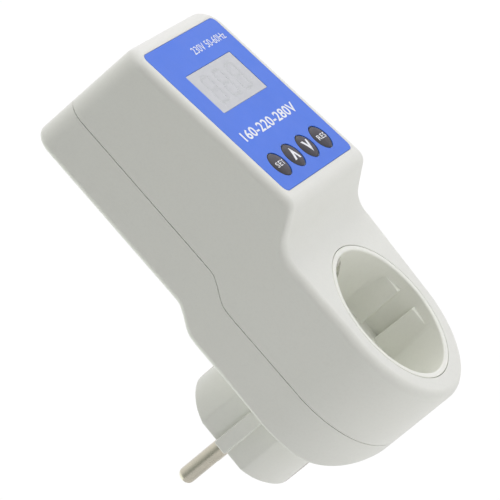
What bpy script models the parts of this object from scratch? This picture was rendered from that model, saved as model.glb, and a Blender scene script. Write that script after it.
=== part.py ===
# Plug-in voltage protector with a pass-through earthed socket.
# Metres, +Z up.  Used plugged into a wall outlet: the front faces -Y, the plug
# pins point along +Y, the key panel is uppermost.  The origin is on the plug's
# axis, on the flat sole that the pins stand out of.

import math

import bmesh
import bpy
from mathutils import Vector

MM = 0.001

# ------------------------------------------------------------ main dimensions
SOLE_DEPTH = 56.5 * MM        # socket rim plane to plug sole
PLUG_RISE = 0.7 * MM          # plug axis above the socket's axis
GAP = 0.3 * MM                # running clearance between separate pieces

# body outline seen from the front
BASE_R = 27.4 * MM            # half-round lower end, on the socket's axis
HIP_Z = 24.0 * MM             # widest level, above the socket
HIP_HALF = 28.9 * MM
HEAD_HALF = 27.5 * MM         # half width of the upper part
HEAD_Z = 39.0 * MM            # level where the head reaches its own width
TOP_Z = 95.8 * MM
TOP_CORNER = 6.5 * MM
EDGE_R = 2.5 * MM             # rounding round the front
TOP_EDGE_R = 3.1 * MM         # the same at the head's top end
BACK_EDGE_R = 2.0 * MM

# sloping key panel
TILT = math.radians(8.57)
LABEL_Y = -10.33 * MM         # lower edge of the label, from the rim plane
LABEL_Z = 40.74 * MM
LABEL_W = 48.2 * MM
LABEL_H = 51.9 * MM
LABEL_T = 0.35 * MM
LABEL_CORNER = 2.0 * MM
POCKET = 0.65 * MM

# neck between the socket and the key panel
NECK_SLOPE = math.radians(55.0)
NECK_Z = 29.4 * MM            # where the slope would meet the rim plane
NECK_HOLLOW = 8.1 * MM        # concave radius
NECK_BROW = 3.5 * MM          # convex radius

# back
BACK_Y = 37.2 * MM            # behind the socket
HEAD_BACK_Y = 33.9 * MM       # behind the head, at its lower end
HEAD_BACK_RISE = 0.0353
STEP_Z0 = 27.5 * MM
STEP_Z1 = 38.0 * MM
COVER_DEPTH = 14.1 * MM       # back face to parting line
HEEL_Z = -13.4 * MM           # below this the back curves forward
HEEL_L = 14.6 * MM
HEEL_D = 13.2 * MM

WALL = 2.5 * MM
REBATE = 1.2 * MM

# pass-through socket
WELL_R = 19.75 * MM
WELL_DEPTH = 17.5 * MM
CUP_R = 21.3 * MM
CUP_BACK = 20.3 * MM
PAD_X = 16.9 * MM             # guide pads' inner faces, at the floor
PAD_DRAFT = 0.95 * MM         # and how much they lean back at the top
PAD_TOP = 3.3 * MM
CHANNEL = 5.8 * MM
PIN_PITCH = 19.0 * MM
CONTACT_HOLE = 5.5 * MM
EARTH_SLOT = 7.0 * MM
EARTH_SLOT_TOP = {1: 2.8 * MM, -1: 4.6 * MM}   # upper slot, lower slot

# plug
PLUG_R = 18.4 * MM
PLUG_FLAT = 16.6 * MM
PLUG_RIB = 4.2 * MM
PLUG_BORE = 15.2 * MM
SOLE_T = 5.3 * MM
SOLE_EDGE = 0.5 * MM
PIN_D = 4.8 * MM
PIN_L = 19.0 * MM
PIN_TIP = 1.7 * MM            # length of the rounded end
GROOVE = 6.8 * MM

# display window and keys, on the label
WINDOW_W = 30.8 * MM
WINDOW_H = 14.1 * MM
WINDOW_S = 34.0 * MM
KEY_D = 7.6 * MM
KEY_S = 7.3 * MM
KEY_X = (-15.0 * MM, -5.0 * MM, 5.0 * MM, 15.0 * MM)
KEY_NAMES = ("set", "up", "down", "reset")
KEY_TRAVEL = 0.5 * MM
BOARD_D = 9.2 * MM            # depth of the key board below the label

SCREWS = ((-21.1 * MM, 87.8 * MM), (21.1 * MM, 87.8 * MM),
          (-21.1 * MM, 30.0 * MM), (21.1 * MM, 30.0 * MM))
SCREW_NAMES = ("top_left", "top_right", "low_left", "low_right")

# ----------------------------------------------------------------- the scene
for old in list(bpy.data.objects):
    bpy.data.objects.remove(old, do_unlink=True)

scene_root = bpy.context.scene.collection
parts = bpy.data.collections.new("voltage_protector")
cutters = bpy.data.collections.new("voltage_protector_cutters")
scene_root.children.link(parts)
scene_root.children.link(cutters)

frame = bpy.data.objects.new("rim_frame", None)       # centre of the socket rim
frame.location = (0.0, -SOLE_DEPTH, -PLUG_RISE)
parts.objects.link(frame)

face = bpy.data.objects.new("label_frame", None)      # lower edge of the label
face.parent = frame
face.location = (0.0, LABEL_Y, LABEL_Z)
face.rotation_euler = (-TILT, 0.0, 0.0)
parts.objects.link(face)

ALONG_Y = (-math.pi / 2, 0.0, 0.0)                    # local +Z to +Y
FRONTAL = (math.pi / 2, 0.0, 0.0)                     # local XY to XZ
SIDEWAYS = (math.pi / 2, 0.0, math.pi / 2)            # local XY to YZ

MATERIALS = {
    "abs": ((0.74, 0.75, 0.70), 0.55, 0.0),
    "film": ((0.10, 0.22, 0.72), 0.35, 0.0),
    "pane": ((0.60, 0.62, 0.62), 0.20, 0.0),
    "lcd": ((0.46, 0.50, 0.44), 0.25, 0.0),
    "white": ((0.85, 0.85, 0.83), 0.45, 0.0),
    "key": ((0.07, 0.07, 0.075), 0.50, 0.0),
    "switch": ((0.04, 0.04, 0.04), 0.45, 0.0),
    "board": ((0.05, 0.24, 0.10), 0.45, 0.0),
    "relay": ((0.03, 0.07, 0.30), 0.40, 0.0),
    "film_cap": ((0.55, 0.35, 0.05), 0.40, 0.0),
    "can": ((0.05, 0.05, 0.07), 0.35, 0.0),
    "varistor": ((0.05, 0.15, 0.45), 0.40, 0.0),
    "resistor": ((0.50, 0.42, 0.30), 0.50, 0.0),
    "chip": ((0.02, 0.02, 0.02), 0.40, 0.0),
    "brass": ((0.72, 0.56, 0.25), 0.30, 1.0),
    "nickel": ((0.62, 0.60, 0.54), 0.25, 1.0),
    "steel": ((0.50, 0.50, 0.50), 0.30, 1.0),
    "brown": ((0.16, 0.07, 0.03), 0.50, 0.0),
    "blue": ((0.03, 0.10, 0.40), 0.50, 0.0),
}


def material(key):
    mat = bpy.data.materials.get(key)
    if mat is None:
        colour, rough, metal = MATERIALS[key]
        mat = bpy.data.materials.new(key)
        mat.use_nodes = True
        node = mat.node_tree.nodes["Principled BSDF"]
        node.inputs["Base Color"].default_value = (*colour, 1.0)
        node.inputs["Roughness"].default_value = rough
        node.inputs["Metallic"].default_value = metal
    return mat


def dress(obj, key):
    obj.data.materials.clear()
    obj.data.materials.append(material(key).copy())
    obj.data.materials[0].name = obj.name + "_" + key


def place(obj, mat, parent, location=(0, 0, 0), rotation=(0, 0, 0)):
    obj.parent = parent
    obj.location = location
    obj.rotation_euler = rotation
    if mat is None:
        cutters.objects.link(obj)
        obj.hide_render = True
        obj.display_type = "WIRE"
    else:
        parts.objects.link(obj)
        dress(obj, mat)
    return obj


def mesh_from(bm, name, smooth=35.0):
    bmesh.ops.recalc_face_normals(bm, faces=bm.faces)
    mesh = bpy.data.meshes.new(name)
    bm.to_mesh(mesh)
    bm.free()
    if smooth:
        mesh.shade_smooth()
        mesh.set_sharp_from_angle(angle=math.radians(smooth))
    return mesh


def box(name, mat, lo, hi, parent=None, bevel=0.0, segments=2):
    """A block between two corners; its origin is its centre."""
    lo, hi = Vector(lo), Vector(hi)
    bm = bmesh.new()
    bmesh.ops.create_cube(bm, size=1.0)
    bmesh.ops.scale(bm, vec=hi - lo, verts=bm.verts)
    obj = bpy.data.objects.new(name, mesh_from(bm, name, 0))
    place(obj, mat, parent or frame, (lo + hi) / 2)
    if bevel:
        mod = obj.modifiers.new("edges", "BEVEL")
        mod.width = bevel
        mod.segments = segments
        mod.limit_method = "ANGLE"
    return obj


def rod(name, mat, radius, y0, y1, x=0.0, z=0.0, parent=None, sides=24):
    """A round bar along the parent's Y."""
    bm = bmesh.new()
    bmesh.ops.create_cone(bm, cap_ends=True, segments=sides, radius1=radius,
                          radius2=radius, depth=y1 - y0)
    obj = bpy.data.objects.new(name, mesh_from(bm, name))
    return place(obj, mat, parent or frame, (x, (y0 + y1) / 2, z), ALONG_Y)


def turned(name, mat, profile, x=0.0, z=0.0, parent=None, steps=32, loop=False,
           y=0.0):
    """A turned piece about the parent's Y.  profile is (radius, depth) points;
    the outer side runs from the far end back to the near one."""
    bm = bmesh.new()
    verts = [bm.verts.new((r, 0.0, h)) for r, h in profile]
    for a, b in zip(verts, verts[1:]):
        bm.edges.new((a, b))
    if loop:
        bm.edges.new((verts[-1], verts[0]))
    mesh = bpy.data.meshes.new(name)
    bm.to_mesh(mesh)
    bm.free()
    obj = bpy.data.objects.new(name, mesh)
    place(obj, mat, parent or frame, (x, y, z), ALONG_Y)
    mod = obj.modifiers.new("turn", "SCREW")
    mod.steps = mod.render_steps = steps
    mod.use_merge_vertices = True
    mod.merge_threshold = 0.00001
    mod.use_smooth_shade = True
    return obj


def prism(name, mat, points, y0, y1, parent=None, rotation=FRONTAL,
          location=(0, 0, 0)):
    """A flat outline given thickness: a filled 2D curve, made a mesh."""
    curve = bpy.data.curves.new(name, "CURVE")
    curve.dimensions = "2D"
    curve.fill_mode = "BOTH"
    curve.extrude = (y1 - y0) / 2
    spline = curve.splines.new("POLY")
    spline.points.add(len(points) - 1)
    for p, (u, v) in zip(spline.points, points):
        p.co = (u, v, 0.0, 1.0)
    spline.use_cyclic_u = True
    source = bpy.data.objects.new(name + "_curve", curve)
    cutters.objects.link(source)
    depsgraph = bpy.context.evaluated_depsgraph_get()
    mesh = bpy.data.meshes.new_from_object(source.evaluated_get(depsgraph))
    bpy.data.objects.remove(source, do_unlink=True)
    bm = bmesh.new()
    bm.from_mesh(mesh)
    bmesh.ops.remove_doubles(bm, verts=bm.verts, dist=0.00001)
    mesh = mesh_from(bm, name)
    obj = bpy.data.objects.new(name, mesh)
    mid = (y0 + y1) / 2
    shift = (0, mid, 0) if rotation == FRONTAL else (mid, 0, 0)
    location = tuple(a + b for a, b in zip(location, shift))
    return place(obj, mat, parent or frame, location, rotation)


def wire(name, mat, points, radius):
    """An insulated wire laid through points."""
    curve = bpy.data.curves.new(name, "CURVE")
    curve.dimensions = "3D"
    curve.bevel_depth = radius
    curve.bevel_resolution = 2
    curve.use_fill_caps = True
    spline = curve.splines.new("POLY")
    spline.points.add(len(points) - 1)
    for p, co in zip(spline.points, points):
        p.co = (*[c * MM for c in co], 1.0)
    source = bpy.data.objects.new(name + "_curve", curve)
    cutters.objects.link(source)
    depsgraph = bpy.context.evaluated_depsgraph_get()
    mesh = bpy.data.meshes.new_from_object(source.evaluated_get(depsgraph))
    bpy.data.objects.remove(source, do_unlink=True)
    bm = bmesh.new()
    bm.from_mesh(mesh)
    bmesh.ops.remove_doubles(bm, verts=bm.verts, dist=0.00001)
    obj = bpy.data.objects.new(name, mesh_from(bm, name))
    return place(obj, mat, frame)


def boolean(target, tool, operation):
    mod = target.modifiers.new(operation.lower() + "_" + tool.name, "BOOLEAN")
    mod.operation = operation
    mod.solver = "EXACT"
    mod.object = tool
    return target


def cut(target, *tools):
    for tool in tools:
        boolean(target, tool, "DIFFERENCE")


def join(target, *tools):
    for tool in tools:
        boolean(target, tool, "UNION")


def rounded(w, h, r, cx=0.0, cy=0.0, steps=5):
    pts = []
    for qx, qy, start in ((1, 1, 0), (-1, 1, 90), (-1, -1, 180), (1, -1, 270)):
        for k in range(steps + 1):
            a = math.radians(start + 90.0 * k / steps)
            pts.append((cx + qx * (w / 2 - r) + r * math.cos(a),
                        cy + qy * (h / 2 - r) + r * math.sin(a)))
    return pts


# ------------------------------------------------------------ the body's form
def label_line(z):
    return LABEL_Y + (z - LABEL_Z) * math.tan(TILT)


_neck = (-math.sin(NECK_SLOPE), math.cos(NECK_SLOPE))
# corner between the neck's slope and the label plane
_k = (-LABEL_Y - (NECK_Z - LABEL_Z) * math.tan(TILT)) / (
    math.sin(NECK_SLOPE) + math.cos(NECK_SLOPE) * math.tan(TILT))
BROW = (_neck[0] * _k, NECK_Z + _neck[1] * _k)
_t0 = NECK_HOLLOW * math.tan(NECK_SLOPE / 2)
_t1 = NECK_BROW * math.tan((NECK_SLOPE + TILT) / 2)
HOLLOW_Z0 = NECK_Z - _t0
HOLLOW_Z1 = NECK_Z + _t0 * math.cos(NECK_SLOPE)
BROW_Z0 = BROW[1] - _t1 * math.cos(NECK_SLOPE)
BROW_Z1 = BROW[1] + _t1 * math.cos(TILT)
# centre of the convex rounding, inside the body
_bc = (BROW[0] + _t1 * math.sin(TILT) + NECK_BROW * math.cos(TILT),
       BROW_Z1 - NECK_BROW * math.sin(TILT))


def front_y(z):
    """Front surface, measured back from the rim plane."""
    if z <= HOLLOW_Z0:
        return 0.0
    if z <= HOLLOW_Z1:
        return -NECK_HOLLOW + math.sqrt(max(0.0, NECK_HOLLOW ** 2 - (z - HOLLOW_Z0) ** 2))
    if z <= BROW_Z0:
        return -(z - NECK_Z) * math.tan(NECK_SLOPE)
    if z < BROW_Z1:
        return _bc[0] - math.sqrt(max(0.0, NECK_BROW ** 2 - (z - _bc[1]) ** 2))
    return label_line(z)


def smooth(t):
    t = min(1.0, max(0.0, t))
    return t * t * (3 - 2 * t)


def back_y(z):
    head = HEAD_BACK_Y + (z - STEP_Z1) * HEAD_BACK_RISE
    t = smooth((z - STEP_Z0) / (STEP_Z1 - STEP_Z0))
    heel = min(1.0, max(0.0, (HEEL_Z - z) / HEEL_L))
    return (BACK_Y * (1 - t) + head * t
            - HEEL_D * (1 - math.sqrt(1 - heel * heel)))


def split_y(z):
    return back_y(max(z, HEEL_Z)) - COVER_DEPTH


def half_width(z):
    if z <= HIP_Z:
        return BASE_R + (HIP_HALF - BASE_R) * max(0.0, z) / HIP_Z
    t = smooth((z - HIP_Z) / (HEAD_Z - HIP_Z))
    return HIP_HALF * (1 - t) + HEAD_HALF * t


def levels():
    zs = [12.0 * MM, HIP_Z, HOLLOW_Z0]
    zs += [HOLLOW_Z0 + (HOLLOW_Z1 - HOLLOW_Z0) * k / 4 for k in range(1, 5)]
    zs += [(HOLLOW_Z1 + BROW_Z0) / 2, BROW_Z0]
    zs += [BROW_Z0 + (BROW_Z1 - BROW_Z0) * k / 3 for k in range(1, 4)]
    zs += [65.0 * MM]
    return sorted(zs)


def outline(off, top=None):
    """Right half of the outline from the lowest point to the top, moved in
    by off, and by top round the head's upper end."""
    top = off if top is None else top
    pts = []
    n = 14
    for k in range(n + 1):
        a = math.radians(-90.0 + 90.0 * k / n)
        pts.append(((BASE_R - off) * math.cos(a) if k else 0.0,
                    (BASE_R - off) * math.sin(a)))
    for z in levels():
        pts.append((half_width(z) - off, z))
    cx, cz = HEAD_HALF - TOP_CORNER, TOP_Z - TOP_CORNER
    for k in range(6):
        a = math.radians(90.0 * k / 5)
        r = TOP_CORNER - off - (top - off) * k / 5
        pts.append((cx + r * math.cos(a), cz + r * math.sin(a)))
    return pts


def loft(name, mat, rings):
    """Closed body through rings, front to back.  Each ring is (inset, f) with
    f(z) its depth; the end faces are strips that run straight across."""
    bm = bmesh.new()
    loops, sides = [], []
    for off, f, *top in rings:
        right = [bm.verts.new((x, f(z), z)) for x, z in outline(off, *top)]
        left = [right[0]] + [bm.verts.new((-v.co.x, v.co.y, v.co.z))
                             for v in right[1:]]
        sides.append((right, left))
        loops.append(right + left[:0:-1])
    for a, b in zip(loops, loops[1:]):
        for i in range(len(a)):
            j = (i + 1) % len(a)
            bm.faces.new((a[i], a[j], b[j], b[i]))
    for right, left in (sides[0], sides[-1]):
        bm.faces.new((right[0], right[1], left[1]))
        for i in range(1, len(right) - 1):
            bm.faces.new((right[i], right[i + 1], left[i + 1], left[i]))
    obj = bpy.data.objects.new(name, mesh_from(bm, name, 40))
    return place(obj, mat, frame)


def rounding(r, surface, sign, n=3, top_r=None):
    """Rings of a rounded edge; sign +1 goes back from a front surface.  The
    radius grows to top_r over the last few millimetres of the head."""
    top_r = top_r or r
    rings = []
    for k in range(n + 1):
        a = math.pi / 2 * k / n
        u, v = 1 - math.sin(a), 1 - math.cos(a)

        def depth(z, v=v):
            t = smooth((z - (TOP_Z - TOP_CORNER)) / (TOP_CORNER - top_r))
            return surface(z) + sign * v * (r + (top_r - r) * t)
        rings.append((r * u, depth, top_r * u))
    return rings if sign > 0 else rings[::-1]


# --------------------------------------------------------------- front shell
front = loft("front_shell", "abs",
             rounding(EDGE_R, front_y, 1, 3, TOP_EDGE_R) + [(0.0, split_y)])
cavity = loft("front_cavity", None,
              [(WALL, lambda z: front_y(z) + WALL),
               (WALL, lambda z: split_y(z) + MM)])
rebate = loft("front_rebate", None,
              [(REBATE, lambda z: split_y(z) - 1.8 * MM),
               (REBATE, lambda z: split_y(z) + MM)])
cut(front, cavity, rebate)
for name, (x, z) in zip(SCREW_NAMES, SCREWS):
    near = max(front_y(z) + 1.3 * MM, front_y(z - 3.5 * MM) + 0.5 * MM)
    post = rod("front_post_" + name, None, 3.5 * MM, near,
               split_y(z) - 0.4 * MM, x, z, sides=16)
    bore = rod("front_bore_" + name, None, 1.8 * MM, split_y(z) - 12 * MM,
               split_y(z) + 2 * MM, x, z, sides=12)
    join(front, post)
    cut(front, bore)
BOARD_POSTS = ((-19.6 * MM, 17.6 * MM), (19.6 * MM, 17.6 * MM))
for i, (x, s) in enumerate(BOARD_POSTS):
    post = rod("board_post_%d" % i, None, 2.8 * MM, 1.4 * MM,
               BOARD_D - GAP, x, s, face, sides=20)
    bore = rod("board_bore_%d" % i, None, 1.4 * MM, 4.0 * MM,
               BOARD_D + MM, x, s, face, sides=12)
    join(front, post)
    cut(front, bore)
cut(front, rod("cup_hole", None, CUP_R + GAP, -3 * MM, 6 * MM, sides=48))
cut(front, prism("label_pocket", None,
                 rounded(LABEL_W + 2 * GAP, LABEL_H + 2 * GAP,
                         LABEL_CORNER + GAP, 0, LABEL_H / 2),
                 -2 * MM, POCKET, face))
cut(front, prism("window_hole", None,
                 rounded(WINDOW_W + 1.2 * MM, WINDOW_H + 1.2 * MM, 0.5 * MM,
                         0, WINDOW_S, 2), -2 * MM, 5 * MM, face))
for name, x in zip(KEY_NAMES, KEY_X):
    cut(front, rod("key_hole_" + name, None, KEY_D / 2 + GAP, -2 * MM, 5 * MM,
                   x, KEY_S, face, sides=24))

# --------------------------------------------------------------- label, display
label = prism("front_label", "film",
              rounded(LABEL_W, LABEL_H, LABEL_CORNER, 0, LABEL_H / 2),
              -0.03 * MM, LABEL_T - 0.03 * MM, face)
cut(label, prism("label_window", None,
                 rounded(WINDOW_W, WINDOW_H, 0.4 * MM, 0, WINDOW_S, 2),
                 -2 * MM, 2 * MM, face))
for name, x in zip(KEY_NAMES, KEY_X):
    cut(label, rod("label_hole_" + name, None, KEY_D / 2 + GAP, -2 * MM,
                   2 * MM, x, KEY_S, face, sides=24))

pane = prism("lcd_window", "pane",
             rounded(WINDOW_W + 0.6 * MM, WINDOW_H + 0.6 * MM, 0.3 * MM,
                     0, WINDOW_S, 2), POCKET, 2.3 * MM, face)
join(pane, prism("window_raise", None,
                 rounded(WINDOW_W - 0.6 * MM, WINDOW_H - 0.6 * MM, 0.2 * MM,
                         0, WINDOW_S, 2), 0.02 * MM, 1.2 * MM, face))

box("lcd_glass", "lcd", (-18.0 * MM, 2.8 * MM, WINDOW_S - 10.2 * MM),
    (18.0 * MM, 5.3 * MM, WINDOW_S + 9.6 * MM), face)
lamp = box("lcd_backlight", "white",
           (-18.8 * MM, 5.6 * MM, WINDOW_S - 10.6 * MM),
           (18.8 * MM, 8.9 * MM, WINDOW_S + 10.0 * MM), face)

# ------------------------------------------------------------- key board, keys
board = box("control_board", "board", (-22.6 * MM, BOARD_D, 2.6 * MM),
            (22.6 * MM, BOARD_D + 1.6 * MM, 43.6 * MM), face)
for i, (x, s) in enumerate(BOARD_POSTS):
    cut(board, rod("board_hole_%d" % i, None, 1.6 * MM, BOARD_D - 3 * MM,
                   BOARD_D + 4 * MM, x, s, face, sides=14))
    side = "left" if x < 0 else "right"
    turned("board_screw_" + side, "steel",
           [(0.0, BOARD_D + 3.4 * MM), (2.0 * MM, BOARD_D + 3.4 * MM),
            (2.5 * MM, BOARD_D + 2.9 * MM), (2.5 * MM, BOARD_D + 1.9 * MM),
            (1.1 * MM, BOARD_D + 1.9 * MM), (1.1 * MM, 4.6 * MM),
            (0.0, 4.6 * MM)],
           x, s, face, steps=12)
box("controller_chip", "chip", (-4.0 * MM, BOARD_D + 1.9 * MM, 26.0 * MM),
    (4.0 * MM, BOARD_D + 3.5 * MM, 34.0 * MM), face, bevel=0.2 * MM,
    segments=1)

for name, x in zip(KEY_NAMES, KEY_X):
    r = KEY_D / 2
    dome = [(r * math.sin(a), -0.42 * MM + (1 - math.cos(a)) * 0.62 * MM)
            for a in (math.radians(22.5 * k) for k in range(1, 4))]
    profile = [(0.0, 4.7 * MM), (1.5 * MM, 4.7 * MM), (1.5 * MM, 3.8 * MM),
               (4.7 * MM, 3.8 * MM), (4.7 * MM, 2.85 * MM),
               (r, 2.85 * MM)] + dome[::-1] + [(0.0, -0.42 * MM)]
    turned("key_" + name, "key", profile, x, KEY_S, face, steps=24)
    turned("switch_stem_" + name, "switch",
           [(0.0, 7.0 * MM), (1.6 * MM, 7.0 * MM), (1.6 * MM, 5.0 * MM),
            (0.0, 5.0 * MM)], x, KEY_S, face, steps=12)
    body = box("switch_body_" + name, "switch",
               (x - 3.0 * MM, 5.7 * MM, KEY_S - 3.0 * MM),
               (x + 3.0 * MM, BOARD_D - GAP, KEY_S + 3.0 * MM), face)
    cut(body, rod("switch_bore_" + name, None, 1.95 * MM, 4.0 * MM, 7.9 * MM,
                  x, KEY_S, face, sides=12))

# ------------------------------------------------------------ pass-through cup
cup = turned("socket_cup", "abs",
             [(0.0, CUP_BACK), (CUP_R, CUP_BACK), (CUP_R, 4.6 * MM), (23.2 * MM, 4.6 * MM),
              (23.2 * MM, 2.85 * MM), (CUP_R, 2.85 * MM), (CUP_R, 0.25 * MM),
              (CUP_R - 0.25 * MM, 0.0), (WELL_R + 0.55 * MM, 0.0),
              (WELL_R + 0.16 * MM, 0.16 * MM), (WELL_R, 0.55 * MM),
              (WELL_R, WELL_DEPTH), (0.0, WELL_DEPTH)],
             steps=48)


def pad_outline(x, side):
    """A guide pad's section: flat inside, buried in the cup's wall outside."""
    r = 20.5 * MM
    a0, a1 = math.asin(side / r), math.acos(x / r)
    return [(x, side)] + [(r * math.cos(a0 + (a1 - a0) * k / 4),
                           r * math.sin(a0 + (a1 - a0) * k / 4))
                          for k in range(5)]


for sx in (-1, 1):
    for sz in (-1, 1):
        bm = bmesh.new()
        rings = []
        for x, side, y in ((PAD_X + PAD_DRAFT, CHANNEL / 2, PAD_TOP),
                           (PAD_X, CHANNEL / 2 - 0.3 * MM,
                            WELL_DEPTH + 0.8 * MM)):
            rings.append([bm.verts.new((sx * u, y, sz * v))
                          for u, v in pad_outline(x, side)])
        for i in range(len(rings[0])):
            j = (i + 1) % len(rings[0])
            bm.faces.new((rings[0][i], rings[0][j], rings[1][j], rings[1][i]))
        bm.faces.new(rings[0])
        bm.faces.new(rings[1][::-1])
        name = "pad_%d_%d" % (sx, sz)
        pad = place(bpy.data.objects.new(name, mesh_from(bm, name, 0)), None,
                    frame)
        join(cup, pad)
for sx in (-1, 1):
    cut(cup, rod("contact_hole_%d" % sx, None, CONTACT_HOLE / 2, 15 * MM,
                 23 * MM, sx * PIN_PITCH / 2, 0.0, sides=24))
for sz in (-1, 1):
    lo, hi = sorted((sz * 16.5 * MM, sz * 24.0 * MM))
    cut(cup, box("earth_slot_%d" % sz, None, (-EARTH_SLOT / 2, EARTH_SLOT_TOP[sz], lo),
                 (EARTH_SLOT / 2, 24 * MM, hi)))


# --------------------------------------------------- springs, contacts, pins
def strip(path, t):
    """Outline of a thin strip that follows path (u, v) at thickness t."""
    left, right = [], []
    for i, p in enumerate(path):
        a = path[max(0, i - 1)]
        b = path[min(len(path) - 1, i + 1)]
        d = Vector((b[0] - a[0], b[1] - a[1])).normalized()
        n = Vector((-d.y, d.x)) * (t / 2)
        left.append((p[0] + n.x, p[1] + n.y))
        right.append((p[0] - n.x, p[1] - n.y))
    return left + right[::-1]


def mirrored(half):
    return half + [(y, -z) for y, z in half[::-1]]


socket_half = [(3.7, 20.2), (4.0, 18.9), (5.1, 17.95), (6.7, 16.75), (8.4, 16.05),
               (10.2, 16.25), (12.2, 17.5), (14.4, 19.3), (16.5, 20.1),
               (20.6, 20.2), (22.2, 19.7), (22.9, 18.2)]
socket_low = [(5.4, 20.2), (5.7, 19.1), (6.8, 18.0), (8.0, 16.9), (9.4, 16.2),
              (11.0, 16.4), (12.8, 17.7), (14.6, 19.3), (16.5, 20.1),
              (20.6, 20.2), (22.2, 19.7), (22.9, 18.2)]
path = ([(y * MM, z * MM) for y, z in socket_half]
        + [(y * MM, -z * MM) for y, z in socket_low[::-1]])
prism("socket_earth_spring", "nickel", strip(path, 0.8 * MM), -3.0 * MM,
      3.0 * MM, rotation=SIDEWAYS)
plug_half = [(55.6, 17.5), (54.6, 17.75), (44.6, 17.75), (42.4, 17.2),
             (41.3, 15.6), (41.0, 13.6)]
path = [(y, z + PLUG_RISE)
        for y, z in mirrored([(y * MM, z * MM) for y, z in plug_half])]
prism("plug_earth_spring", "nickel", strip(path, 0.8 * MM), -3.0 * MM,
      3.0 * MM, rotation=SIDEWAYS)
rod("earth_link", "brass", 2.4 * MM, 23.6 * MM, 40.3 * MM, 0.0,
    PLUG_RISE / 2, sides=16)

for name, sx in (("live", -1), ("neutral", 1)):
    x = sx * PIN_PITCH / 2
    tube = turned("contact_" + name, "brass",
                  [(3.8 * MM, 32.6 * MM), (3.8 * MM, 20.8 * MM),
                   (2.75 * MM, 20.8 * MM), (2.75 * MM, 32.6 * MM)],
                  x, 0.0, steps=24, loop=True)
    cut(tube, box("contact_slit_" + name, None,
                  (x - 0.6 * MM, 20 * MM, -5 * MM),
                  (x + 0.6 * MM, 29.5 * MM, 5 * MM)))
    tip = [(PIN_D / 2 * math.sin(math.radians(a)),
            SOLE_DEPTH + PIN_L - PIN_TIP * (1 - math.cos(math.radians(a))))
           for a in (0, 30, 60)]
    turned("pin_" + name, "nickel",
           tip + [(PIN_D / 2, SOLE_DEPTH + PIN_L - PIN_TIP),
                  (PIN_D / 2, 50.8 * MM), (3.7 * MM, 50.8 * MM),
                  (3.7 * MM, 49.0 * MM), (2.2 * MM, 49.0 * MM),
                  (2.2 * MM, 43.8 * MM), (0.0, 43.8 * MM)],
           x, PLUG_RISE, steps=24)
box("neutral_link", "brass", (7.6 * MM, 32.95 * MM, -0.5 * MM),
    (11.4 * MM, 43.45 * MM, 1.1 * MM))

carrier = rod("pin_carrier", "white", PLUG_BORE - 0.4 * MM, 44.6 * MM,
              48.6 * MM, 0.0, PLUG_RISE, sides=32)
for sx in (-1, 1):
    cut(carrier, rod("carrier_hole_%d" % sx, None, 2.6 * MM, 42 * MM, 50 * MM,
                     sx * PIN_PITCH / 2, PLUG_RISE, sides=20))

# ---------------------------------------------------------------- back cover
cover = loft("back_cover", "abs",
             [(0.0, lambda z: split_y(z) + GAP)]
             + rounding(BACK_EDGE_R, back_y, -1, 2))
lip = loft("cover_lip", None,
           [(REBATE + GAP, lambda z: split_y(z) - 1.5 * MM),
            (REBATE + GAP, lambda z: split_y(z) + 2.0 * MM)])
boss = turned("plug_boss", None,
              [(0.0, SOLE_DEPTH), (PLUG_R - SOLE_EDGE, SOLE_DEPTH)]
              + [(PLUG_R - SOLE_EDGE + SOLE_EDGE * math.sin(math.radians(a)),
                  SOLE_DEPTH - SOLE_EDGE + SOLE_EDGE * math.cos(math.radians(a)))
                 for a in (45, 90)]
              + [(PLUG_R, 34.8 * MM), (0.0, 34.8 * MM)], 0.0, PLUG_RISE,
              steps=48)
for sx in (-1, 1):
    for sz in (-1, 1):
        x0, x1 = sorted((sx * PLUG_FLAT, sx * 24 * MM))
        z0, z1 = sorted((sz * PLUG_RIB / 2, sz * 24 * MM))
        cut(boss, box("flat_%d_%d" % (sx, sz), None,
                      (x0, 36.0 * MM, z0 + PLUG_RISE),
                      (x1, 60 * MM, z1 + PLUG_RISE)))
inner = loft("cover_cavity", None,
             [(WALL, lambda z: split_y(z) - 4 * MM),
              (WALL, lambda z: back_y(z) - WALL)])
join(cover, lip, boss)
cut(cover, inner, rod("plug_bore", None, PLUG_BORE, 28 * MM,
                      SOLE_DEPTH - SOLE_T, 0.0, PLUG_RISE, sides=36))
for name, (x, z) in zip(SCREW_NAMES, SCREWS):
    seat = split_y(z) + 4.2 * MM
    join(cover, rod("cover_post_" + name, None, 4.7 * MM, split_y(z) + 0.4 * MM,
                    back_y(z) - 0.9 * MM, x, z, sides=20))
    cut(cover,
        rod("counterbore_" + name, None, 3.4 * MM, seat, back_y(z) + 3 * MM,
            x, z, sides=20),
        rod("screw_hole_" + name, None, 1.9 * MM, split_y(z) - 3 * MM,
            seat + MM, x, z, sides=12))
    turned("housing_screw_" + name, "steel",
           [(0.0, seat + 2.5 * MM), (1.9 * MM, seat + 2.4 * MM),
            (2.7 * MM, seat + 1.9 * MM), (2.9 * MM, seat + 1.2 * MM),
            (2.9 * MM, seat + 0.3 * MM), (1.5 * MM, seat + 0.3 * MM),
            (1.5 * MM, split_y(z) - 9.5 * MM), (0.0, split_y(z) - 11 * MM)],
           x, z, steps=14)
for sx in (-1, 1):
    cut(cover, rod("pin_hole_%d" % sx, None, PIN_D / 2 + GAP, 48 * MM,
                   60 * MM, sx * PIN_PITCH / 2, PLUG_RISE, sides=24))
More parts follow.
